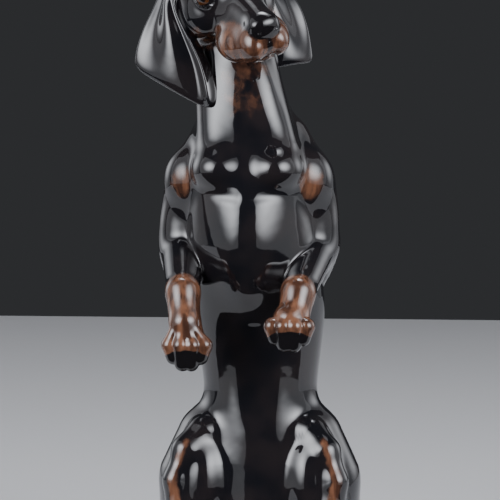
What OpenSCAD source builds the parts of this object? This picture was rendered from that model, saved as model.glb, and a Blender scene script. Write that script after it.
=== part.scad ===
// Sitting-up dachshund: a hollow slip-cast porcelain figurine, luted together from twelve castings.
// Z is up and the dog faces -Y. The origin is the middle of the flat underside, on the ground.
// side = 1 is the dog's own left (+X) and side = -1 its right (-X).

/* [Body] */
// Height of the shoulders above the ground
shoulder_h = 121; // [100:1:146]
// Width of the seat, without the haunches
seat_w = 38; // [32:1:46]
// Depth of the seat from belly to back
seat_d = 37; // [31:1:45]
// Width of the waist
waist_w = 35.5; // [30:0.5:42.5]
// Depth of the waist
waist_d = 33; // [28:1:39]
// Width of the ribcage, without the forelegs
chest_w = 40; // [34:1:48]
// Depth of the ribcage from breastbone to spine
chest_d = 42; // [35:1:50]
// Thickness of the neck
neck_w = 25; // [21:1:30]
// Rise of the neck from the shoulders to the throat
neck_rise = 39; // [33:1:46]
// Sideways lean of the chest and neck, towards the dog's right
neck_lean = 9; // [0:0.5:11]

/* [Head] */
// Width of the skull
skull_w = 30; // [26:1:36]
// Length of the skull from brow to nape
skull_l = 35; // [30:1:42]
// Height of the skull
skull_h = 29; // [25:1:34]
// Length of the muzzle in front of the brow
muzzle_l = 24; // [20:1:28]
// Width of the muzzle at the nose
muzzle_w = 15.5; // [13:0.5:18]
// Turn of the head towards the dog's left, in degrees
head_turn = 30; // [0:1:36]
// Dip of the nose, in degrees
head_dip = 15; // [0:1:20]
// Sideways tilt of the head, right ear low, in degrees
head_tilt = 17; // [0:1:20]

/* [Ears] */
// Length of an ear from root to tip
ear_l = 41; // [34:1:48]
// Greatest width of an ear
ear_w = 25; // [20:1:30]
// Thickness of an ear
ear_t = 3.2; // [2.4:0.2:4]

/* [Forelegs] */
// Thickness of the upper arm
arm_d = 15; // [12.5:0.5:18]
// Drop from the shoulder to the elbow
arm_drop = 21; // [17:1:25]
// Reach of the forearm in front of the elbow
forearm_l = 29; // [24:1:34]
// Thickness of the forearm
forearm_d = 11; // [9:0.5:13]
// Width of a front paw
paw_w = 13; // [11:0.5:15.5]
// Length of the hanging paw, below the wrist
paw_l = 23; // [19:1:27]

/* [Hind legs and tail] */
// Width of a haunch
haunch_w = 24; // [20:1:28]
// Height of the knee above the ground
knee_h = 34; // [28:1:40]
// Length of a hind foot
foot_l = 33; // [28:1:40]
// Width of a hind foot
foot_w = 13; // [11:0.5:15.5]
// Length of the tail behind the seat
tail_l = 41; // [34:1:49]
// Thickness of the tail at its root
tail_d = 11; // [9:0.5:13]

/* [Casting] */
// Wall of the hollow castings
wall = 2.6; // [2:0.1:3.2]
// Diameter of the pour hole in the underside
pour_d = 20; // [16:1:24]
// Diameter of the vent hole in the disc that closes it
vent_d = 3.5; // [2.9:0.1:4.2]
// Diameter of the air hole between the body and the head
air_d = 5; // [4:0.5:6]
// Seam of slip left between two castings
lute = 0.1; // [0.05:0.01:0.15]
// Number of sides of a round form
facets = 24; // [16:2:24]

/* [Hidden] */
black_glaze = "#1b1a1d";
tan_glaze = "#9c5a34";
bisque = "#d9d2c4";
smooth_fn = 96;

// The spine, from the seat up to the throat.
seat = [0, 1.5, seat_d * 0.34];
loin = [0, 2, shoulder_h * 0.36];
waist = [0, 1.5, shoulder_h * 0.54];
ribs_end = [-neck_lean * 0.1, -0.5, shoulder_h * 0.7];
ribs = [-neck_lean * 0.3, -3, shoulder_h * 0.87];
chest = [-neck_lean * 0.42, -3.5, shoulder_h];
neck_base = [-neck_lean * 0.55, -2, shoulder_h + neck_rise * 0.36];
neck = [-neck_lean * 0.75, -0.5, shoulder_h + neck_rise * 0.7];
throat = [-neck_lean, -0.5, shoulder_h + neck_rise];

// The middle of the skull, just above the throat.
skull = throat + [-4, -2.5, skull_h * 0.46 + neck_w * 0.27];

// A point given in the head's own axes, turned with the head and set in its place.
function rolled(p, a) = [p[0] * cos(a) - p[2] * sin(a), p[1], p[0] * sin(a) + p[2] * cos(a)];
function pitched(p, a) = [p[0], p[1] * cos(a) - p[2] * sin(a), p[1] * sin(a) + p[2] * cos(a)];
function turned(p, a) = [p[0] * cos(a) - p[1] * sin(a), p[0] * sin(a) + p[1] * cos(a), p[2]];
function on_head(p) = skull + turned(pitched(rolled(p, head_tilt), head_dip), head_turn);

// Joints of the legs.
function shoulder(side) = chest + [side * (chest_w / 2 - 3.5), 3, arm_d * 0.5];
function upper_arm(side) = chest + [side * chest_w / 2, 2.5, -arm_drop * 0.35];
function elbow(side) = chest + [side * (chest_w / 2 + 1), 4, -arm_drop];
function wrist(side) = elbow(side) + [-side * 4.5, -forearm_l, -forearm_d * 0.9];
function paw_drop(side) = paw_l + (side < 0 ? 4 : -2) - paw_w / 2;
function paw(side) = wrist(side) + [0, -2.5, -paw_drop(side)];
function hip(side) = [side * seat_w * 0.36, 3, knee_h * 0.9];
function thigh(side) = [side * (seat_w / 2 + 1), -1, knee_h * 0.76];
function knee(side) = [side * (seat_w / 2 + 3), -seat_d * 0.36, knee_h * 1.06];
function hock(side) = [side * (seat_w / 2 + 3), -seat_d * 0.28, foot_w * 0.42];
function toes(side) = hock(side) + [-side * 1.5, foot_w - foot_l, -foot_w * 0.08];

// A ball or egg shape; grow makes it larger on every side, or smaller when negative.
module egg(centre, size, grow = 0) {
    translate(centre)
        scale([for (s = size) max(s / 2 + grow, 0.2)])
            sphere(r = 1, $fn = facets);
}

// A limb: each egg is joined to the next one. A station is a centre and three sizes.
module chain(stations, grow = 0) {
    for (i = [0 : len(stations) - 2])
        hull() {
            egg(stations[i][0], stations[i][1], grow);
            egg(stations[i + 1][0], stations[i + 1][1], grow);
        }
}

// Everything below the ground is sliced away, so that each piece stands flat.
module above_ground(floor = 0) {
    size = shoulder_h + neck_rise + skull_h * 3;
    intersection() {
        children();
        translate([-size / 2, -size / 2, floor])
            cube(size);
    }
}

module torso_form(grow = 0) {
    chain([
        [seat, [seat_w, seat_d, seat_d]],
        [loin, [waist_w, seat_d * 0.93, waist_d]],
        [waist, [waist_w, waist_d, waist_d]],
        [ribs_end, [waist_w + 4, chest_d * 0.88, waist_d]],
        [ribs, [chest_w, chest_d, chest_d * 0.75]],
        [chest, [chest_w * 0.94, chest_d * 0.96, chest_d * 0.6]],
        [neck_base, [neck_w * 1.26, neck_w * 1.26, neck_w * 0.9]],
        [neck, [neck_w, neck_w, neck_w * 0.8]],
        [throat, [neck_w * 0.94, neck_w, neck_w * 0.8]]
    ], grow);
}

// Skull, brow, cheeks and muzzle, in the head's own axes.
nape = [0, skull_l * 0.05, 0];
brow = [0, -skull_l * 0.2, skull_h * 0.12];
cheek = [0, -skull_l * 0.06, -skull_h * 0.14];
muzzle_start = [0, -skull_l * 0.36, -skull_h * 0.16];
muzzle_end = [0, -skull_l * 0.36 - muzzle_l + muzzle_w * 0.45, -skull_h * 0.27];
nose = muzzle_end + [0, -muzzle_w * 0.38, muzzle_w * 0.16];
muzzle_start_size = [muzzle_w * 1.3, muzzle_w * 1.3, skull_h * 0.62];

// Everything drawn in the head's own axes is turned with the head and set in its place.
module place_on_head() {
    translate(skull)
        rotate([0, 0, head_turn])
            rotate([head_dip, 0, 0])
                rotate([0, -head_tilt, 0])
                    children();
}

module head_form(grow = 0) {
    place_on_head() {
        chain([
            [nape, [skull_w, skull_l * 0.94, skull_h]],
            [brow, [skull_w * 0.82, skull_l * 0.6, skull_h * 0.72]],
            [muzzle_start, muzzle_start_size],
            [muzzle_end, [muzzle_w, muzzle_w, muzzle_w * 0.95]]
        ], grow);
        chain([
            [cheek, [skull_w * 0.9, skull_l * 0.7, skull_h * 0.72]],
            [muzzle_start, muzzle_start_size]
        ], grow);
    }
}

// The pad of the nose is solid clay on the end of the muzzle.
module nose_pad() {
    place_on_head()
        egg(nose, [muzzle_w * 0.6, muzzle_w * 0.5, muzzle_w * 0.55]);
}

module foreleg_form(side, grow = 0) {
    chain([
        [shoulder(side), [arm_d * 0.95, arm_d * 1.45, arm_d]],
        [upper_arm(side), [arm_d * 1.06, arm_d * 1.3, arm_d * 1.2]],
        [elbow(side), [arm_d * 0.92, arm_d * 0.95, arm_d * 0.9]],
        [wrist(side), [forearm_d, forearm_d, forearm_d]],
        [paw(side), [paw_w, paw_w * 0.95, paw_w]]
    ], grow);
}

module haunch_form(side, grow = 0) {
    chain([
        [hip(side), [haunch_w * 0.8, seat_d * 0.8, knee_h]],
        [thigh(side), [haunch_w, seat_d * 0.8, knee_h * 0.94]],
        [knee(side), [haunch_w * 0.7, haunch_w * 0.7, haunch_w * 0.75]],
        [hock(side), [foot_w, foot_w, foot_w]]
    ], grow);
}

// Rows of an ear from its root to its tip, and three points across each row, front to back.
// The right ear spreads wider, and its outer corner ends higher than its front edge.
ear_rows = [0, 0.25, 0.5, 0.75, 1];
ear_widths = [0.34, 0.42, 0.76, 1, 0.9];
function ear_root(side) = on_head([side * (skull_w / 2 - 3), 3, skull_h * 0.3]);
function ear_hang(side) = (side > 0 ? [0.38, -0.04, -0.9] : [0.05, -0.09, -1]) * ear_l;
function ear_span(side) = (side > 0 ? [0.68, 0.32, 0.04] : [-0.96, 0.2, 0.06]) * ear_w / 2;
function ear_bow(side) = (side > 0 ? [1, -0.6, 0] : [-1.1, -0.6, 0]) * ear_t;
function ear_reach(side, across) = 1 - (side > 0 ? 0.02 : 0.17) * (across + 0.5);
function ear_point(side, row, across) =
    ear_root(side)
    + ear_hang(side) * (1 - ear_t / ear_l) * ear_rows[row] * ear_reach(side, across)
    + ear_span(side) * (1 - ear_t / ear_w) * ear_widths[row] * across
    + ear_bow(side) * sin(150 * ear_rows[row]) * (1 - 0.5 * abs(across));

module ear_form(side, grow = 0) {
    thick = [ear_t, ear_t, ear_t];
    for (row = [0 : len(ear_rows) - 2])
        for (across = [-1, 0])
            hull()
                for (r = [row, row + 1])
                    for (a = [across, across + 1])
                        egg(ear_point(side, r, a), thick, grow);
}

module foot_form(side, grow = 0) {
    chain([
        [hock(side), [foot_w * 0.95, foot_w, foot_w * 0.95]],
        [toes(side), [foot_w * 1.05, foot_w, foot_w * 0.8]]
    ], grow);
}

// The tail lies on the ground and swings towards the dog's left.
tail_steps = 5;
function tail_point(t) = [
    tail_l * 0.3 * t * t,
    seat[1] + seat_d * 0.42 + (tail_l - tail_d * 0.3) * t,
    tail_d * (0.47 - 0.26 * t)
];
function tail_size(t) = tail_d * (1 - 0.5 * t) * [1, 1, 1];
module tail_form(grow = 0) {
    chain([for (i = [0 : tail_steps]) [tail_point(i / tail_steps), tail_size(i / tail_steps)]], grow);
}

// The hole through which air passes between the body and the head while they are fired.
module air_hole() {
    hull() {
        egg(neck, [air_d, air_d, air_d]);
        egg(skull, [air_d, air_d, air_d]);
    }
}

module torso() {
    color(black_glaze)
        difference() {
            above_ground() torso_form();
            above_ground(wall) torso_form(-wall);
            head_form(lute);
            air_hole();
            translate([0, 0, -wall])
                cylinder(d = pour_d, h = wall * 3, $fn = smooth_fn);
        }
}

module head() {
    color(black_glaze)
        difference() {
            union() {
                head_form();
                nose_pad();
            }
            head_form(-wall);
            air_hole();
        }
}

module ear(side) {
    color(black_glaze)
        difference() {
            ear_form(side);
            head_form(lute);
            torso_form(lute);
        }
}

module foreleg(side) {
    color(black_glaze)
        difference() {
            foreleg_form(side);
            torso_form(lute);
        }
}

module haunch(side) {
    color(black_glaze)
        difference() {
            above_ground() haunch_form(side);
            torso_form(lute);
        }
}

module hind_foot(side) {
    color(tan_glaze)
        difference() {
            above_ground() foot_form(side);
            haunch_form(side, lute);
            torso_form(lute);
        }
}

module tail() {
    color(black_glaze)
        difference() {
            above_ground() tail_form();
            torso_form(lute);
        }
}

module base_disc() {
    color(bisque)
        difference() {
            cylinder(d = pour_d - 2 * lute, h = wall, $fn = smooth_fn);
            translate([pour_d / 4, 0, -wall])
                cylinder(d = vent_d, h = wall * 3, $fn = smooth_fn);
        }
}

torso();
head();
ear(1);  // left_ear
ear(-1);  // right_ear
foreleg(1);  // left_foreleg
foreleg(-1);  // right_foreleg
haunch(1);  // left_haunch
haunch(-1);  // right_haunch
hind_foot(1);  // left_hind_foot
hind_foot(-1);  // right_hind_foot
tail();
base_disc();
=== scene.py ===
import math

import bpy
import numpy as np
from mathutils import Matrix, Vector


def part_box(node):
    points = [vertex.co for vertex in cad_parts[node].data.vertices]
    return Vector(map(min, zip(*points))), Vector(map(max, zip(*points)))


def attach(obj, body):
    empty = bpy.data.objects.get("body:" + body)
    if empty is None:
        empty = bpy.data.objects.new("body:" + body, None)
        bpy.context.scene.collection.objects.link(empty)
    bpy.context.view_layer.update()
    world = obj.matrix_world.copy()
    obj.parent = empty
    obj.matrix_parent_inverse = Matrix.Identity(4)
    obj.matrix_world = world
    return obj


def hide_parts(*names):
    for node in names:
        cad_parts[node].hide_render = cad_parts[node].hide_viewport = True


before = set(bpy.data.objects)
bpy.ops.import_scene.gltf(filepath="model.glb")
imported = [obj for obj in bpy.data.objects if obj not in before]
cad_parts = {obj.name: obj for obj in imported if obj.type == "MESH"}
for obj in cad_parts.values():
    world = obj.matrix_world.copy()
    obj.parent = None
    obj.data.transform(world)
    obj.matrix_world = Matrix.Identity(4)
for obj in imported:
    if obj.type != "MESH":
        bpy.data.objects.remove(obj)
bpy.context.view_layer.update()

MM = 0.001
BODY = "root"
TINY = 1e-9

# ---------------------------------------------------------------- measures, in millimetres
# The dog faces -Y; side = 1 is its own left (+X) and side = -1 its right.
SIDES = (-1, 1)
# The four toes of a paw, counted from its middle.
TOES = (-1.5, -0.5, 0.5, 1.5)
FINE = 1.0
EAR_FINE = 1.2
# A casting runs on past its seam by the overlap, and sinks under its neighbour by the dip's share of that.
SEAM_OVERLAP = 0.8
SEAM_DIP = 0.3
# How softly the rim that the dog stands on is rounded.
GROUND_EDGE = 2.4
# Farther than any point of one casting is from its neighbour.
FAR = 60.0


def corners(node):
    """The low and high corners of a CAD node's box, in millimetres."""
    low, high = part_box(node)
    return np.array(low) / MM, np.array(high) / MM


def named(side, piece):
    """The name of a piece that the dog has on both sides."""
    return ("left_" if side > 0 else "right_") + piece


def turn_about(axis, degrees):
    """The 3 by 3 matrix that turns a point about the x, y or z axis."""
    c = math.cos(math.radians(degrees))
    s = math.sin(math.radians(degrees))
    rows = {
        "x": [(1, 0, 0), (0, c, -s), (0, s, c)],
        "y": [(c, 0, s), (0, 1, 0), (-s, 0, c)],
        "z": [(c, -s, 0), (s, c, 0), (0, 0, 1)],
    }
    return np.array(rows[axis])


# ---------------------------------------------------------------- modelling clay
# A shape is a field: a function that gives, for whole arrays of points, roughly how far each
# point is outside the clay (negative inside). Lumps are pressed together and grooves are cut
# with blends as soft as a modeller's thumb.

def length(v):
    """The length of each row of an array of vectors."""
    return np.sqrt(np.einsum("ij,ij->i", v, v))


def egg(p, centre, half, turn=None):
    """An ellipsoid: the point is scaled by the half sizes, and the overshoot is scaled back to
    millimetres."""
    q = p - np.asarray(centre, float)
    if turn is not None:
        q = q @ turn
    half = np.asarray(half, float)
    near = length(q / half)
    slope = length(q / half ** 2)
    return near * (near - 1) / np.maximum(slope, TINY)


def bone(p, a, b, ra, rb):
    """A tapering rod with round ends: the distance to the line from a to b, less a radius that runs
    from ra to rb."""
    a = np.asarray(a, float)
    run = np.asarray(b, float) - a
    q = p - a
    t = np.clip(q @ run / (run @ run), 0, 1)
    return length(q - t[:, None] * run) - (ra + (rb - ra) * t)


def press(a, b, k):
    """Two lumps pressed together: the lesser distance, with a cubic fillet where the two are within k
    of each other."""
    h = np.maximum(k - np.abs(a - b), 0) / k
    return np.minimum(a, b) - h ** 3 * k / 6


def cut(a, b, k):
    """Lump a with lump b cut out of it, the edge rounded over k."""
    return -press(-a, b, k)


def keep(a, b, k):
    """What lumps a and b share, the edge rounded over k."""
    return -press(-a, -b, k)


def flowing(places, values, softness):
    """A smooth function through stations: straight runs between them, averaged with a bell of the given
    softness."""
    step = softness / 14
    fine = np.arange(min(places) - 6 * softness, max(places) + 6 * softness, step)
    straight = np.interp(fine, places, values)
    bell = np.exp(-0.5 * (np.arange(-4 * softness, 4 * softness + step, step) / softness) ** 2)
    pad = len(bell) // 2
    padded = np.pad(straight, pad, mode="edge")
    smooth = np.convolve(padded, bell / bell.sum(), mode="valid")[: len(fine)]
    return lambda z: np.interp(z, fine, smooth)


# ---------------------------------------------------------------- torso
# Height, half width, depth of the belly side and depth of the back, from the seat up to the throat.
TORSO_STATIONS = [
    (0, 18, 15, 18.5),
    (10, 19, 16, 19.5),
    (25, 18.6, 16, 19.8),
    (45, 17.4, 15, 19),
    (58, 17.6, 14.3, 18),
    (70, 19.2, 14.6, 17.3),
    (78, 20.4, 16, 17),
    (86, 20.8, 19.4, 17),
    (94, 20.4, 22.2, 17),
    (104, 20, 24, 17),
    (114, 19.6, 24.4, 16.8),
    (122, 19, 23.6, 16.3),
    (130, 17.6, 21.4, 15.2),
    (138, 15.6, 18, 13.6),
    (146, 13.6, 15, 12.2),
    (154, 12.3, 13, 11.5),
    (163, 12, 12, 11.5),
    (178, 12, 11, 11),
]
# Height and sideways lean of the trunk's middle.
LEAN_STATIONS = [
    (0, 0), (66, 0), (85, -0.5), (106, -2), (122, -3), (137, -3.8), (149, -5.2), (160, -7.2), (178, -9.5),
]
TORSO_Z, TORSO_HALF, TORSO_FRONT, TORSO_BACK = zip(*TORSO_STATIONS)
LEAN_Z, LEAN_X = zip(*LEAN_STATIONS)
TORSO_TOP = 176
half_width = flowing(TORSO_Z, TORSO_HALF, 3)
front_depth = flowing(TORSO_Z, TORSO_FRONT, 3)
back_depth = flowing(TORSO_Z, TORSO_BACK, 3.5)
lean = flowing(LEAN_Z, LEAN_X, 5)
# The middle of the ribcage, and of the breastbone, which is a little to the dog's left of it.
CHEST_X = -3.0
BREAST_X = CHEST_X + 0.8
THROAT_TURN = turn_about("y", -12) @ turn_about("x", -9)
# The gap round and above the disc that closes the pour hole.
DISC_GAP = 0.2


def torso_field(p):
    """The trunk from seat to throat: an oval that flows from station to station, with keel, pectorals,
    neck cords, folds, notch and navel, and a recess underneath for the disc."""
    z = p[:, 2]
    x = p[:, 0] - lean(z)
    y = p[:, 1] - (back_depth(z) - front_depth(z)) / 2
    a = half_width(z)
    b = (front_depth(z) + back_depth(z)) / 2
    near = np.sqrt((x / a) ** 2 + (y / b) ** 2 + TINY)
    trunk = (near - 1) * np.minimum(a, b)
    keel = egg(p, (BREAST_X, -13, 103), (11, 13, 20))
    trunk = press(trunk, keel, 7)
    for side in SIDES:
        pectoral = egg(p, (BREAST_X + side * 8.6, -14.6, 125), (8.6, 10, 7.6))
        trunk = press(trunk, pectoral, 4.5)
        cord = bone(p, (BREAST_X + side * 8, -12, 131), (-7.5 + side * 7, -4.5, 158), 7, 5.6)
        trunk = press(trunk, cord, 5)
        fold = bone(p, (BREAST_X + side * 3, -26, 117), (BREAST_X + side * 14, -21.5, 118), 0.8, 0.8)
        trunk = cut(trunk, fold, 3)
    notch = bone(p, (BREAST_X, -25.5, 134), (BREAST_X, -27, 122), 1.3, 0.9)
    trunk = cut(trunk, notch, 4)
    throat = egg(p, (CHEST_X - 1.2, -12, 148), (9.5, 4.4, 16), THROAT_TURN)
    trunk = press(trunk, throat, 5)
    navel = egg(p, (0, -16.5, 62), (5, 2.2, 12))
    trunk = cut(trunk, navel, 6)
    trunk = keep(trunk, z - TORSO_TOP, 3)
    _, disc = corners("base_disc")
    recess = keep(length(p[:, :2]) - disc[0] - DISC_GAP, z - disc[2] - DISC_GAP, 0.3)
    return cut(trunk, recess, 0.3)


# ---------------------------------------------------------------- head
# The head's own axes: x to its left, -y along the muzzle, z up through the crown. The middle of the skull is
# set in from the sides of the CAD head's box where the muzzle doesn't reach.
HEAD_LOW, HEAD_HIGH = corners("head")
HEAD_MIDDLE = np.array([HEAD_LOW[0] + 16.2, HEAD_HIGH[1] - 17.3, HEAD_HIGH[2] - 15.2])
# Turned to the dog's left, then dipped, then tilted with the right ear low.
HEAD_TURN = turn_about("z", 30) @ turn_about("x", 15) @ turn_about("y", -17)
# Where the left eye is, and which way it looks.
EYE = np.array([9.0, -13.6, 4.2])
GAZE = np.array([0.78, -0.6, 0.15])


def on_head(local):
    """A point given in the head's own axes, turned with the head and set in its place."""
    return HEAD_MIDDLE + HEAD_TURN @ np.asarray(local, float)


def in_head(p):
    """World points in the head's own axes, and the same folded onto the left half."""
    q = (p - HEAD_MIDDLE) @ HEAD_TURN
    m = q.copy()
    m[:, 0] = np.abs(m[:, 0])
    return q, m


def block(p, centre, half):
    """An egg with flatter sides: the cubes of the scaled coordinates are summed."""
    q = np.abs(p - np.asarray(centre, float)) / np.asarray(half, float)
    return ((q ** 3).sum(axis=1) ** (1 / 3) - 1) * min(half)


def head_field(p):
    """Skull and brow, muzzle and chin, cheeks and lips, eyes, mouth, nose and the roots of the ears."""
    q, m = in_head(p)
    skull = egg(q, (0, 1.5, 1.5), (14, 16.5, 13.2))
    brow = egg(q, (0, -9, 3), (10.8, 10, 9))
    head = press(skull, brow, 5)

    muzzle = bone(q, (0, -14, -4), (0, -31.5, -6.4), 8.8, 6.6)
    bridge = bone(q, (0, -12, 2.2), (0, -34, -1.6), 5.6, 4.4)
    chin = egg(q, (0, -26, -12), (6, 8, 3.4))
    muzzle = press(muzzle, bridge, 3)
    muzzle = press(muzzle, chin, 3)
    head = press(head, muzzle, 6)

    cheek = egg(m, (8.4, -5, -4.5), (6.6, 10, 8.3))
    lip = egg(m, (4, -30.5, -8), (4.5, 7.8, 5.6))
    jowl = egg(m, (6.2, -23.5, -9.4), (4.8, 9, 5.6))
    head = press(head, cheek, 4)
    head = press(head, lip, 2)
    head = press(head, jowl, 3)

    ridge = egg(m, EYE + [-1.6, 1, 4.2], (4, 4, 2.4))
    ball_middle = EYE - 1.3 * GAZE
    ball = egg(m, ball_middle, (3.7, 3.7, 3.4))
    opening = bone(m, EYE + [-0.5, -2.9, -1], EYE + [2.4, 0.9, 0.1], 1.6, 1.5)
    lids = cut(egg(m, ball_middle, (4.3, 4.3, 4)), opening, 0.4)
    head = press(head, ridge, 3)
    head = press(head, lids, 1.6)
    head = press(head, ball, 0.2)

    mouth = bone(m, (0, -38.6, -12.2), (7.8, -21, -11), 0.6, 0.5)
    lip_line = bone(q, (0, -40, -6), (0, -39, -11.6), 0.4, 0.4)
    head = cut(head, mouth, 1)
    head = cut(head, lip_line, 1)

    nostril = egg(m, (2.7, -38.5, -2.8), (1, 1.1, 0.6))
    nose = cut(block(q, (0, -35.2, -1.6), (4.3, 3.2, 2.7)), nostril, 0.8)
    ear_root = bone(m, (8.5, 4, 5), (11.6, 3.4, 7.4), 5.5, 3.4)
    head = press(head, nose, 3)
    return press(head, ear_root, 5)


# ---------------------------------------------------------------- forelegs
def foreleg_joints(side):
    """The joints of one foreleg. Its toes end at the low side of its CAD node, and the right foreleg
    stands a little farther out."""
    chest = np.array([CHEST_X, 0, 0])
    low, _ = corners(named(side, "foreleg"))
    toe_z = low[2] + 5.8
    out = 0.8 if side < 0 else 0
    return {
        "withers": chest + [side * 11, 2, 133],
        "shoulder": chest + [side * 17, -3.5, 122.5],
        "upper_arm": chest + [side * (18.8 + out), 0, 105.5 + side * 1.5],
        "elbow": chest + [side * (20.4 + out), 2, 101.5],
        "wrist": chest + [side * (17.2 + out), -25, 88],
        "knuckle": chest + [side * (16 + out), -30, 79],
        "toes": chest + [side * (15.2 + out), -31.6, toe_z],
    }


def foreleg_field(side, p):
    """Shoulder blade, upper arm, forearm and a hanging paw with four toes."""
    s = foreleg_joints(side)
    blade = bone(p, s["withers"], s["shoulder"], 7.6, 8)
    shoulder = egg(p, s["shoulder"] + [side * 1.2, -3.2, -1], (6.4, 6, 8.5))
    upper_arm = egg(p, s["upper_arm"], (8.9, 9, 20.5))
    forearm = bone(p, s["elbow"], s["wrist"], 7.2, 5)
    arm = press(blade, shoulder, 8)
    arm = press(arm, upper_arm, 8)
    arm = press(arm, forearm, 3)

    wrist = bone(p, s["wrist"], s["knuckle"], 5.2, 4.7)
    wrist_bone = egg(p, s["wrist"] + [0, -3.2, -3], (3.6, 2.8, 4.4))
    palm_middle = s["toes"] + [0, 2, 5]
    back_of_paw = bone(p, s["knuckle"], palm_middle, 4.7, 5)
    palm = bone(p, palm_middle, s["toes"] + [0, 1.2, 0], 5, 3.2)
    arm = press(arm, wrist, 2.5)
    arm = press(arm, wrist_bone, 1.2)
    arm = press(arm, back_of_paw, 2)
    arm = press(arm, palm, 2)

    for i in TOES:
        back = 1.2 * abs(i)
        start = s["knuckle"] + [i * 1.7, -2.2, -1]
        bend = s["toes"] + [i * 3.4, -2.3 + back, 3.4]
        tip = s["toes"] + [i * 2.7, -1.5 + 0.7 * back, -3.1 + 1.6 * back]
        toe = press(bone(p, start, bend, 1.5, 2.6), bone(p, bend, tip, 2.6, 2.4), 1)
        arm = press(arm, toe, 0.9)
    return arm


# ---------------------------------------------------------------- hind legs
def haunch_field(side, p):
    """Rump, thigh and calf of a sitting dog, with the knee, and the shin running down to the ankle."""
    rump = egg(p, (side * 14, 5, 24), (13, 15.5, 21))
    thigh = bone(p, (side * 16, 0, 41), (side * 20, -1, 29), 9.8, 11.3)
    calf = egg(p, (side * 18.5, -0.5, 18), (12.6, 16.5, 17))
    inner = egg(p, (side * 16.5, -10, 28), (7, 8, 14))
    knee = bone(p, (side * 17, -9, 43.5), (side * 21.5, -12, 38), 4.6, 4.4)
    shin = bone(p, (side * 21.5, -12, 38), (side * 24.6, -14, 29), 4.4, 3.6)
    ankle = bone(p, (side * 24.6, -14, 29), (side * 22.5, -15, 9), 3.6, 4.6)
    leg = press(rump, thigh, 8)
    leg = press(leg, calf, 6)
    leg = press(leg, inner, 5)
    leg = press(leg, press(knee, shin, 3), 4)
    return press(leg, ankle, 4)


def foot_front(side):
    """The point on the ground under a hind foot's longest toes, from its CAD box."""
    low, high = corners(named(side, "hind_foot"))
    return np.array([(low[0] + high[0]) / 2, low[1], 0])


def foot_field(side, p):
    """A long hind foot flat on the ground, with four toes in front."""
    front = foot_front(side)
    heel = front + [side, 27.8, 5]
    ball = front + [0, 10.8, 4.6]
    foot = bone(p, heel, ball, 5.2, 5.2)
    for i in TOES:
        reach = 1.4 * abs(i)
        start = front + [i * 2, 12.8, 5.6]
        bend = front + [i * 3.1, 6.8 + reach, 4.9]
        tip = front + [i * 3.2, 2.3 + reach, 2.4]
        toe = press(bone(p, start, bend, 1.8, 2.6), bone(p, bend, tip, 2.6, 2.2), 1)
        foot = press(foot, toe, 0.9)
    return foot


TAIL_LOW, TAIL_HIGH = corners("tail")
# The tail's radius at its root and at its tip.
TAIL_ROOT, TAIL_TIP = 5.4, 2.7
TAIL_RUN = TAIL_HIGH[1] - TAIL_TIP - TAIL_LOW[1]


def tail_centre(t):
    """The tail's middle line: back along the ground from the seat, swinging to the dog's left."""
    return np.stack([12 * t * t, TAIL_LOW[1] + TAIL_RUN * t, 5.2 - 2.6 * t], axis=-1)


def tail_field(p):
    """A tapering tail: the distance to the point of its middle line that is as far back as p, less its
    radius there."""
    t = np.clip((p[:, 1] - TAIL_LOW[1]) / TAIL_RUN, 0, 1)
    return length(p - tail_centre(t)) - (TAIL_ROOT + (TAIL_TIP - TAIL_ROOT) * t)


# ---------------------------------------------------------------- the whole dog as one blended skin
def both(field, piece):
    """The same field for the dog's left and right."""
    return {named(side, piece): (lambda p, s=side: field(s, p)) for side in SIDES}


FIELDS = {"torso": torso_field, "head": head_field, "tail": tail_field}
FIELDS.update(both(foreleg_field, "foreleg"))
FIELDS.update(both(haunch_field, "haunch"))
FIELDS.update(both(foot_field, "hind_foot"))

# Which other castings each casting is luted to.
NEIGHBOURS = {
    "torso": ["head", "tail", "left_foreleg", "right_foreleg", "left_haunch", "right_haunch"],
    "head": ["torso"],
    "tail": ["torso"],
}
for _side in SIDES:
    NEIGHBOURS[named(_side, "foreleg")] = ["torso"]
    NEIGHBOURS[named(_side, "haunch")] = ["torso", named(_side, "hind_foot")]
    NEIGHBOURS[named(_side, "hind_foot")] = ["torso", named(_side, "haunch")]


def softness(a, b, p):
    """How wide the fillet is where two castings were luted together."""
    pair = {a, b}
    if "head" in pair:
        return 5.0
    if any("foreleg" in n for n in pair):
        return np.interp(p[:, 2], [95, 118], [1.5, 6.0])
    if any("hind_foot" in n for n in pair):
        return 2.5
    if "tail" in pair:
        return 4.0
    return np.interp(p[:, 2], [12, 34], [3.0, 9.0])


def skin(piece, p):
    """The blended skin around one piece, cut flat at the ground, and how far a point is past the seam, in
    a neighbour's share of it."""
    own = FIELDS[piece](p)
    total = own
    nearest = np.full(len(p), FAR)
    for other in NEIGHBOURS[piece]:
        theirs = FIELDS[other](p)
        total = press(total, theirs, softness(piece, other, p))
        nearest = np.minimum(nearest, theirs)
    return keep(total, -p[:, 2], GROUND_EDGE), own - nearest


# How often a ray steps on, and the longest step back and forward.
RAY_STEPS = 36
STEP_BACK = -1.5
STEP_ON = 4


def shoot(piece, origin, direction):
    """Where rays from inside a piece leave it: each steps on by most of the distance left, so it settles
    on the skin. Past a seam the piece dips under its neighbour, and soon ends."""
    t = np.zeros(len(origin))
    for _ in range(RAY_STEPS):
        outside, past = skin(piece, origin + t[:, None] * direction)
        outside = outside + SEAM_DIP * np.maximum(past, 0)
        left = -np.maximum(outside, past - SEAM_OVERLAP)
        t = t + np.clip(0.8 * left, STEP_BACK, STEP_ON)
    return origin + t[:, None] * direction


def slope(piece, p):
    """The outward direction of the blended skin: its gradient from small steps along each axis."""
    step = 0.05
    here = skin(piece, p)[0]
    rise = np.stack([skin(piece, p + step * axis)[0] - here for axis in np.eye(3)], axis=1)
    return rise / np.maximum(length(rise), TINY)[:, None]


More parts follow.
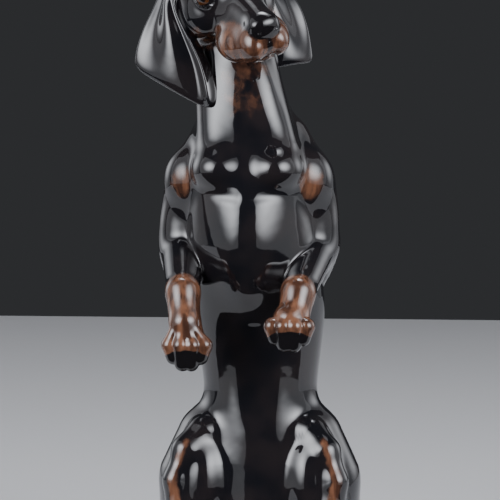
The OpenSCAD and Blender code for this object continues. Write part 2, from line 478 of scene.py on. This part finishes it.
def along_spine(spine, steps, place):
    """Points on a spine at given lengths along it."""
    return np.stack([np.interp(place, steps, spine[:, k]) for k in range(3)], axis=1)


# A spine's direction is sampled this often, and averaged over this share of its length.
SPINE_SAMPLES = 80
SPINE_BELL = 0.12


def capsule_rays(spine, rings, cap_rings, segments, up):
    """Ray origins and directions around a bent spine, pole to pole: fans at both ends, whose tilt runs from
    90 degrees to 0, and flat wheels along it. Each wheel turns evenly about the spine's smoothed direction;
    up fixes where it starts."""
    spine = np.asarray(spine, float)
    steps = np.concatenate([[0], np.cumsum(length(np.diff(spine, axis=0)))])
    place = np.linspace(0, steps[-1], rings)
    sample = np.linspace(0, steps[-1], SPINE_SAMPLES)
    weight = np.exp(-0.5 * ((place[:, None] - sample[None]) / (SPINE_BELL * steps[-1])) ** 2)
    weight /= weight.sum(axis=1, keepdims=True)
    line = along_spine(spine, steps, place)
    along = weight @ np.gradient(along_spine(spine, steps, sample), axis=0)
    along /= length(along)[:, None]
    first = np.radians(np.linspace(90, 0, cap_rings + 1))[:-1]
    tilt = np.concatenate([-first, np.zeros(rings), first[::-1]])
    pick = np.concatenate([np.zeros(cap_rings, int), np.arange(rings), np.full(cap_rings, rings - 1)])
    axis = along[pick]
    origin = line[pick]
    across = np.cross(axis, np.asarray(up, float))
    across /= length(across)[:, None]
    third = np.cross(axis, across)
    angle = np.linspace(0, 2 * np.pi, segments, endpoint=False)
    wheel = np.cos(angle)[None, :, None] * across[:, None] + np.sin(angle)[None, :, None] * third[:, None]
    direction = np.cos(tilt)[:, None, None] * wheel + np.sin(tilt)[:, None, None] * axis[:, None]
    origin = np.repeat(origin[:, None], segments, axis=1)
    return origin, direction


def grid_faces(rows, columns):
    """The four-sided faces of a grid whose rows close on themselves."""
    c = np.arange(columns)[None, :]
    nxt = (c + 1) % columns
    this_row = np.arange(rows - 1)[:, None] * columns
    next_row = this_row + columns
    quads = np.stack([this_row + c, this_row + nxt, next_row + nxt, next_row + c], axis=-1)
    return quads.reshape(-1, 4)


def closed_tube(name, points, normals=None):
    """A mesh from rows of points that close round; each end row is joined to a pole at its own middle."""
    rows, columns = points.shape[:2]
    poles = np.array([points[0].mean(axis=0), points[-1].mean(axis=0)])
    verts = np.concatenate([points.reshape(-1, 3), poles]) * MM
    quads = grid_faces(rows, columns)
    c = np.arange(columns)
    nxt = (c + 1) % columns
    start = np.stack([np.full(columns, rows * columns), nxt, c], axis=1)
    last = (rows - 1) * columns
    end = np.stack([np.full(columns, rows * columns + 1), last + c, last + nxt], axis=1)
    mesh = bpy.data.meshes.new(name)
    mesh.from_pydata(verts.tolist(), [], quads.tolist() + start.tolist() + end.tolist())
    mesh.polygons.foreach_set("use_smooth", np.ones(len(mesh.polygons), bool))
    if normals is not None:
        pole_normals = np.array([normals[0].mean(axis=0), normals[-1].mean(axis=0)])
        every = np.concatenate([normals.reshape(-1, 3), pole_normals])
        every /= np.maximum(length(every), TINY)[:, None]
        mesh.normals_split_custom_set_from_vertices(every.tolist())
    obj = bpy.data.objects.new(name, mesh)
    bpy.context.scene.collection.objects.link(obj)
    return obj


# ---------------------------------------------------------------- underglaze painting
def inside(spots):
    """Millimetres inside the nearest of several spots."""
    return -np.minimum.reduce(spots)


def painted(obj, p):
    """Stores the painter's brushes on a piece: how far inside the tan, iris, dark and bare areas each
    point is."""
    for layer, brush in BRUSHES.items():
        attribute = obj.data.attributes.new(layer, "FLOAT", "POINT")
        attribute.data.foreach_set("value", np.asarray(brush(p), np.float32))


def bare_brush(p):
    """The ring that the figurine stands on is wiped clean of glaze."""
    return 0.7 - p[:, 2]


def tan_brush(p):
    """Millimetres inside the tan markings: muzzle, brows, cheeks, throat, paws, shoulders, shins and feet.
    A spot's factor or floor makes its edge softer or its colour thinner."""
    _, m = in_head(p)
    spots = [
        egg(m, (6.6, -28, -7.4), (6.2, 12.5, 6)),
        egg(m, EYE + [-1.6, -1, 5.4], (2.2, 2.4, 1.8)),
        np.maximum(0.4 * egg(m, (9.5, -9, -9.5), (4, 8, 4)), 0.1),
        np.maximum(0.22 * egg(p, (-3.2, -14, 153), (4.6, 7, 10)), 0.2),
        egg(m, (2.4, -35, -9), (5, 6.4, 5)),
    ]
    for side in SIDES:
        s = foreleg_joints(side)
        spots.append(bone(p, s["wrist"] + [0, -5, -0.5], s["toes"] + [0, 0, -3], 7.4, 8.5))
        spots.append(0.6 * egg(p, s["shoulder"] + [side * 2.5, -9, -1.5], (3.6, 5, 4.6)))
        knee = (side * 21, -16, 42)
        shin = (side * 25.4, -17.5, 30)
        spots.append(bone(p, knee, shin, 0.9, 1.4))
        spots.append(bone(p, shin, (side * 23, -20, 12), 1.4, 2.4))
        spots.append(bone(p, (side * 22, -18, 4), (side * 21, -34, 3), 7.5, 9))
    return inside(spots)


def iris_brush(p):
    """Millimetres inside the brown of the eyes."""
    _, m = in_head(p)
    return -egg(m, EYE + 2.2 * GAZE, (2.4, 2.4, 2.2))


def dark_brush(p):
    """Millimetres inside the near-black paint: nose, pupils and claws, and a dark lip line under the nose
    that is widened into painted shade there.
    """
    _, m = in_head(p)
    spots = [
        egg(m, (0, -37, -1.4), (5.2, 4.2, 3.9)),
        egg(m, EYE + 2.2 * GAZE, (1.4, 1.4, 1.4)),
        # a dark lip line under the nose, widened to paint in the shade that falls under the nose into the
        # lip groove
        bone(m, (0, -39.5, -4), (0, -38, -12), 1.3, 1.1),
    ]
    for side in SIDES:
        s = foreleg_joints(side)
        spots.append(egg(p, s["toes"] + [0, -1.5, -3.4], (8, 7, 6)))
    return inside(spots)


BRUSHES = {
    "tan_paint": tan_brush,
    "iris_paint": iris_brush,
    "dark_paint": dark_brush,
    "bare_clay": bare_brush,
}


# ---------------------------------------------------------------- pieces
def cast(name, spine, rings, cap_rings, segments, up):
    """One casting: rays from its spine out to the skin, closed at its poles, then painted."""
    rings = max(int(rings * FINE), 4)
    cap_rings = max(int(cap_rings * FINE), 4)
    segments = max(int(segments * FINE), 12)
    origin, direction = capsule_rays(spine, rings, cap_rings, segments, up)
    shape = origin.shape
    points = shoot(name, origin.reshape(-1, 3), direction.reshape(-1, 3))
    normals = slope(name, points)
    obj = closed_tube(name + "_casting", points.reshape(shape), normals.reshape(shape))
    every = np.concatenate([points, points.reshape(shape)[[0, -1]].mean(axis=1)])
    painted(obj, every)
    return settle(obj, name)


def settle(obj, node):
    """Makes a piece ride the one body and stand for its CAD node."""
    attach(obj, BODY)
    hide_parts(node)
    return obj


def make_torso():
    """Neck, chest, belly and seat in one casting, cut flat underneath."""
    spine = [
        (0, 0, 16), (0, 0, 34), (0, 2, 60), (-0.5, -1, 90), (-3, -4, 118), (-5.5, -1, 148), (-9, 0, 164),
    ]
    return cast("torso", spine, 300, 40, 240, (0, 1, 0))


def make_head():
    """Skull and muzzle in one casting, its poles at the nape and the nose."""
    spine = [on_head((0, 4, 1)), on_head((0, -10, 0)), on_head((0, -22, -4.5)), on_head((0, -31, -5.5))]
    return cast("head", spine, 150, 60, 260, HEAD_TURN @ np.array([0, 0, 1]))


def make_foreleg(side):
    """Upper arm, forearm and paw, its poles at the withers and the toes."""
    s = foreleg_joints(side)
    spine = [
        s["withers"], s["shoulder"], s["upper_arm"], s["elbow"] + [0, -5, 0],
        s["wrist"], s["knuckle"], s["toes"] + [0, 0, 1.5],
    ]
    return cast(named(side, "foreleg"), spine, 240, 40, 170, (1, 0, 0))


def make_haunch(side):
    """Thigh, knee and shin of one side."""
    spine = [(side * 17, 3, 23), (side * 19, -3.5, 23.5), (side * 21, -10, 24)]
    return cast(named(side, "haunch"), spine, 60, 60, 150, (1, 0, 0))


def make_hind_foot(side):
    """A hind foot, its poles at the heel and the toes."""
    front = foot_front(side)
    spine = [front + [side, 21.8, 4.5], front + [0, 10.8, 4.4], front + [0, 5.8, 3.8]]
    return cast(named(side, "hind_foot"), spine, 90, 36, 130, (0, 0, 1))


def make_tail():
    """The tail, its poles in the seat and at the tip."""
    return cast("tail", tail_centre(np.linspace(0, 0.97, 8)), 100, 20, 64, (0, 0, 1))


# The way from an ear's root to its tip, the direction across it, how far it bows forward and lifts off the
# head, how its lower edge slopes, and its half widths.
EARS = {
    -1: {
        "hang": (2.4, -3.6, -40.6), "span": (-0.95, 0.24, 0.06), "bulge": 2.6, "lift": 2.2,
        "tip_slope": 0.16, "width": [5.6, 5, 5.2, 9.2, 12.8, 13.6, 13.2],
    },
    1: {
        "hang": (14.4, -1.5, -36), "span": (0.9, 0.42, 0.05), "bulge": 3.0, "lift": 1.5,
        "tip_slope": 0.02, "width": [5.6, 5.6, 6.8, 8.6, 9.2, 9.0, 8.6],
    },
}
# Where the widths are given, as shares of the way down the ear.
EAR_ROWS = [0, 0.15, 0.28, 0.48, 0.68, 0.82, 1]
# The twist at the root, and how far down it reaches.
EAR_TWIST = math.radians(50)
EAR_TWIST_REACH = 0.32
# Where the middle of the rolled front rim is across the ear, from -1 in front to 1, and how wide it is.
RIM_PLACE = -0.84
RIM_WIDTH = 0.14


def ear_down(form, u, v):
    """How far down the ear a point is, as a share of its length: the lower edge slopes up from the front to
    the outside, and both its corners are rounded off by high powers."""
    corner = 0.15 * np.clip(-v, 0, 1) ** 5 + 0.05 * np.clip(v, 0, 1) ** 12
    return u * (1 - form["tip_slope"] * (v + 0.5) - corner)


def ear_fold(form, v, down, bow, rim):
    """Millimetres off the ear's plane: a lift that grows downward, the rim set forward, a soft fold and
    turned-back sides."""
    lift = form["lift"] * np.sin(2.4 * down) + 1.7 * rim * np.clip(2 * down, 0, 1)
    return lift + 1.3 * bow * np.cos(4.2 * v + 1.4 - 1.5 * down) - 1.6 * v ** 2 * down


def ear_half_thickness(u, v, rim):
    """Half the thickness of the flap: fullest at its rim, and closed along the lower edge."""
    return (1.2 + 1.0 * rim + 0.2 * v ** 2) * np.sqrt(np.clip(1 - u ** 24, 0.0004, 1))


def spun(p, angle):
    """Points turned about the upright axis, each by its own angle."""
    return np.stack([
        p[..., 0] * np.cos(angle) - p[..., 1] * np.sin(angle),
        p[..., 0] * np.sin(angle) + p[..., 1] * np.cos(angle),
        p[..., 2],
    ], axis=-1)


def make_ear(side):
    """A hanging ear flap, narrow at its root and wide below, bowed and softly folded, with a thick rolled
    front rim. Each row runs round the leaf: v = cos(angle) across its width, and the square root of
    1 - v ** 4 through its thickness. Near its root the leaf twists, to lie along the side of the head."""
    form = EARS[side]
    root = on_head((side * 11.6, 3.2, 8.4))
    hang = np.array(form["hang"], float)
    span = np.array(form["span"], float)
    face = np.cross(span, hang)
    face *= -np.sign(face[1]) / np.sqrt(face @ face)
    u = (1 - np.cos(np.linspace(0.02, 1, int(150 * EAR_FINE)) * np.pi)) / 2
    angle = np.linspace(0, 2 * np.pi, int(140 * EAR_FINE), endpoint=False)
    u, angle = np.meshgrid(u, angle, indexing="ij")
    v = np.cos(angle)
    rim = np.exp(-((v - RIM_PLACE) / RIM_WIDTH) ** 2)
    down = ear_down(form, u, v)
    bow = np.sin(np.pi * np.clip(down, 0, 1) ** 0.7)
    across = v * flowing(EAR_ROWS, form["width"], 0.06)(down) + form["bulge"] * bow
    edge = np.sqrt(np.clip(1 - v ** 4, 0, 1)) * np.sign(np.sin(angle))
    off = ear_fold(form, v, down, bow, rim) + ear_half_thickness(u, v, rim) * edge
    leaf = across[..., None] * span + off[..., None] * face
    twist = side * EAR_TWIST * np.exp(-(down / EAR_TWIST_REACH) ** 2)
    p = root + down[..., None] * hang + spun(leaf, twist)
    if np.cross(span, face) @ hang < 0:
        p = p[:, ::-1]
    obj = closed_tube(named(side, "ear") + "_flap", p)
    painted(obj, np.concatenate([p.reshape(-1, 3), p[[0, -1]].mean(axis=1)]))
    return settle(obj, named(side, "ear"))


# ---------------------------------------------------------------- materials
def new_material(name):
    """A new node material, its tree and its Principled shader."""
    material = bpy.data.materials.new(name)
    material.use_nodes = True
    tree = material.node_tree
    shader = tree.nodes["Principled BSDF"]
    return material, tree, shader


def node(tree, kind, **settings):
    """One shader node, with its settings and its unlinked socket values."""
    made = tree.nodes.new(kind)
    for key, value in settings.items():
        if hasattr(made, key):
            setattr(made, key, value)
        else:
            made.inputs[key.replace("_", " ")].default_value = value
    return made


def ramp(tree, low, high, source):
    """A smooth step from 0 to 1 as the source goes from low to high."""
    made = node(tree, "ShaderNodeMapRange", interpolation_type="SMOOTHSTEP")
    made.inputs["From Min"].default_value = low
    made.inputs["From Max"].default_value = high
    tree.links.new(source, made.inputs["Value"])
    return made.outputs["Result"]


def mixed(tree, amount, a, b):
    """Colour a turned into colour b by an amount; a and b are colours or sockets."""
    made = node(tree, "ShaderNodeMix", data_type="RGBA")
    tree.links.new(amount, made.inputs["Factor"])
    for socket, value in ((made.inputs[6], a), (made.inputs[7], b)):
        if isinstance(value, tuple):
            socket.default_value = value
        else:
            tree.links.new(value, socket)
    return made.outputs[2]


def added(tree, a, b, scale):
    """a plus b times scale."""
    made = node(tree, "ShaderNodeMath", operation="MULTIPLY_ADD")
    tree.links.new(b, made.inputs[0])
    made.inputs[1].default_value = scale
    tree.links.new(a, made.inputs[2])
    return made.outputs[0]


TAN_BRUSHED = (0.05, 0.022, 0.014, 1)
TAN_LIGHT = (0.19, 0.083, 0.046, 1)
TAN_POOLED = (0.1, 0.042, 0.024, 1)
BLACK_DEEP = (0.006, 0.006, 0.008, 1)
BLACK_THIN = (0.014, 0.011, 0.012, 1)
IRIS_BROWN = (0.09, 0.032, 0.01, 1)
BLACK_DETAIL_AND_SHADE = (0.007, 0.006, 0.007, 1)
WIPED_CLAY = (0.62, 0.55, 0.46, 1)
BISQUE_DARK = (0.52, 0.45, 0.36, 1)
BISQUE_LIGHT = (0.74, 0.68, 0.58, 1)


def glaze():
    """Clear high-gloss glaze over black underglaze, with brushed tan markings, near-black details and a
    strip of painted shade under the nose.
    """
    material, tree, shader = new_material("black_and_tan_glaze")
    place = node(tree, "ShaderNodeTexCoord").outputs["Object"]

    def noise(scale, detail=2.0, stretch=None):
        """Fractal noise over the piece, squeezed along an axis if a stretch is given."""
        made = node(tree, "ShaderNodeTexNoise", Scale=scale, Detail=detail)
        source = place
        if stretch:
            squash = node(tree, "ShaderNodeMapping")
            squash.inputs["Scale"].default_value = stretch
            tree.links.new(place, squash.inputs["Vector"])
            source = squash.outputs["Vector"]
        tree.links.new(source, made.inputs["Vector"])
        return made.outputs["Fac"]

    def layer(name, soft, ragged, grain):
        """How thickly a brush covers a point: its edge is soft, and ragged by a noise of that grain."""
        attribute = node(tree, "ShaderNodeAttribute", attribute_name=name).outputs["Fac"]
        shaken = added(tree, attribute, noise(grain, 3.0), ragged)
        return ramp(tree, ragged * 0.5 - soft, ragged * 0.5 + soft, shaken)

    streak = noise(420, 3.0, (1, 1, 0.22))
    blotch = noise(90, 2.0)
    tan = mixed(tree, ramp(tree, 0.38, 0.66, streak), TAN_BRUSHED, TAN_LIGHT)
    tan = mixed(tree, ramp(tree, 0.42, 0.75, blotch), tan, TAN_POOLED)
    black = mixed(tree, ramp(tree, 0.35, 0.7, blotch), BLACK_DEEP, BLACK_THIN)
    colour = mixed(tree, layer("tan_paint", 0.7, 2.6, 260), black, tan)
    colour = mixed(tree, layer("iris_paint", 0.15, 0.1, 500), colour, IRIS_BROWN)
    # near-black paint for nose, pupils and claws, also laid under the nose as painted shade
    colour = mixed(tree, layer("dark_paint", 0.25, 0.8, 500), colour, BLACK_DETAIL_AND_SHADE)
    bare = layer("bare_clay", 0.15, 0.3, 900)
    colour = mixed(tree, bare, colour, WIPED_CLAY)
    tree.links.new(colour, shader.inputs["Base Color"])
    rough = node(tree, "ShaderNodeMapRange")
    rough.inputs["To Min"].default_value = 0.06
    rough.inputs["To Max"].default_value = 0.65
    tree.links.new(bare, rough.inputs["Value"])
    tree.links.new(rough.outputs["Result"], shader.inputs["Roughness"])
    bump = node(tree, "ShaderNodeBump")
    bump.inputs["Strength"].default_value = 0.12
    bump.inputs["Distance"].default_value = 0.0004
    tree.links.new(noise(230, 1.0), bump.inputs["Height"])
    tree.links.new(bump.outputs["Normal"], shader.inputs["Normal"])
    tree.links.new(bump.outputs["Normal"], shader.inputs["Coat Normal"])
    shader.inputs["IOR"].default_value = 1.52
    shader.inputs["Coat Weight"].default_value = 0.6
    shader.inputs["Coat Roughness"].default_value = 0.02
    return material


def bisque():
    """Bare fired porcelain: matt and cream, with a fine grain and faint kiln dust."""
    material, tree, shader = new_material("bare_bisque")
    place = node(tree, "ShaderNodeTexCoord").outputs["Object"]
    grain = node(tree, "ShaderNodeTexNoise", Scale=900, Detail=6.0)
    tree.links.new(place, grain.inputs["Vector"])
    colour = mixed(tree, grain.outputs["Fac"], BISQUE_DARK, BISQUE_LIGHT)
    tree.links.new(colour, shader.inputs["Base Color"])
    shader.inputs["Roughness"].default_value = 0.75
    bump = node(tree, "ShaderNodeBump")
    bump.inputs["Strength"].default_value = 0.3
    bump.inputs["Distance"].default_value = 0.0002
    tree.links.new(grain.outputs["Fac"], bump.inputs["Height"])
    tree.links.new(bump.outputs["Normal"], shader.inputs["Normal"])
    return material


# ---------------------------------------------------------------- studio
def pale_floor():
    """A plain pale table top; the dog sits near its front edge."""
    mesh = bpy.data.meshes.new("studio_floor")
    side, front, back = 0.5, -0.055, 0.9
    edge = [(-side, front, 0), (side, front, 0), (side, back, 0), (-side, back, 0)]
    mesh.from_pydata(edge, [], [(0, 1, 2, 3)])
    floor = bpy.data.objects.new("studio_floor", mesh)
    bpy.context.scene.collection.objects.link(floor)
    material, _, shader = new_material("pale_paper")
    shader.inputs["Base Color"].default_value = (0.52, 0.52, 0.53, 1)
    shader.inputs["Roughness"].default_value = 0.9
    shader.inputs["Specular IOR Level"].default_value = 0.1
    mesh.materials.append(material)


def facing(place, target):
    """The turn that makes a lamp or a camera at one place look at another."""
    return (Vector(target) - Vector(place)).to_track_quat("-Z", "Y").to_euler()


# Each lamp's place and size in metres, its watts, its brightest place and how dim its edges are.
SOFTBOXES = {
    "left_softbox": ((-0.76, -0.5, 0.45), (1.4, 1.3), 17, (0.68, 0.5), 0.21),
    "right_softbox": ((0.8, -0.4, 0.45), (1.4, 1.3), 17, (0.32, 0.5), 0.21),
    "left_rear_softbox": ((-1.0, 0.6, 0.4), (1.2, 1.2), 3, (0.5, 0.5), 0.5),
    "right_rear_softbox": ((1.0, 0.6, 0.4), (1.2, 1.2), 3, (0.5, 0.5), 0.5),
    "top_softbox": ((0.0, 0.1, 0.9), (0.7, 0.4), 4, (0.5, 0.5), 0.2),
}
DOG_HEART = (0, 0, 0.11)
# How far across a lamp its bright core fades out, as a share of the lamp, and how bright the core is.
CORE_REACH = 0.46
CORE_STRENGTH = 3.5


def softbox(name, place, target, size, power, core, dim):
    """A rectangular studio lamp facing a target. It is brightest at its core, a place given as shares of its
    width and height, and fades to its dim strength towards its edges."""
    lamp = bpy.data.lights.new(name, "AREA")
    lamp.shape = "RECTANGLE"
    lamp.size, lamp.size_y = size
    lamp.energy = power
    lamp.color = (0.93, 0.95, 1.0)
    lamp.use_nodes = True
    tree = lamp.node_tree
    across = node(tree, "ShaderNodeNewGeometry").outputs["Parametric"]
    offset = node(tree, "ShaderNodeVectorMath", operation="SUBTRACT")
    offset.inputs[1].default_value = (*core, 0)
    tree.links.new(across, offset.inputs[0])
    reach = node(tree, "ShaderNodeVectorMath", operation="LENGTH")
    tree.links.new(offset.outputs["Vector"], reach.inputs[0])
    fade = node(tree, "ShaderNodeMapRange", interpolation_type="SMOOTHSTEP")
    fade.inputs["From Min"].default_value = CORE_REACH
    fade.inputs["From Max"].default_value = 0.0
    fade.inputs["To Min"].default_value = dim
    fade.inputs["To Max"].default_value = CORE_STRENGTH
    tree.links.new(reach.outputs["Value"], fade.inputs["Value"])
    tree.links.new(fade.outputs["Result"], tree.nodes["Emission"].inputs["Strength"])
    obj = bpy.data.objects.new(name, lamp)
    obj.location = place
    obj.rotation_euler = facing(place, target)
    bpy.context.scene.collection.objects.link(obj)


def studio_light():
    """Soft boxes on both sides and above, in a dim room."""
    world = bpy.data.worlds.new("dim_room")
    world.use_nodes = True
    back = world.node_tree.nodes["Background"]
    back.inputs["Color"].default_value = (0.5, 0.52, 0.56, 1)
    back.inputs["Strength"].default_value = 0.06
    bpy.context.scene.world = world
    for name, (place, size, power, core, dim) in SOFTBOXES.items():
        softbox(name, place, DOG_HEART, size, power, core, dim)


def camera():
    """A long lens a little to the dog's left and a little above its chest."""
    azimuth = math.radians(6)
    elevation = math.radians(4)
    distance = 1.3
    view_width = 0.155
    aim = np.array([-0.0031, 0, 0.0992])
    out = np.array([
        math.sin(azimuth) * math.cos(elevation),
        -math.cos(azimuth) * math.cos(elevation),
        math.sin(elevation),
    ])
    lens = bpy.data.cameras.new("studio_camera")
    lens.sensor_width = 36
    lens.lens = lens.sensor_width * distance / view_width
    lens.clip_end = 30
    obj = bpy.data.objects.new("studio_camera", lens)
    place = aim + out * distance
    obj.location = place
    obj.rotation_euler = facing(place, aim)
    bpy.context.scene.collection.objects.link(obj)
    bpy.context.scene.camera = obj


camera()
castings = [make_torso(), make_head(), make_tail()]
for dog_side in SIDES:
    for make in (make_foreleg, make_haunch, make_hind_foot, make_ear):
        castings.append(make(dog_side))
gloss_glaze = glaze()
for casting in castings:
    casting.data.materials.append(gloss_glaze)
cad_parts["base_disc"].data.materials.clear()
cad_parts["base_disc"].data.materials.append(bisque())
pale_floor()
studio_light()
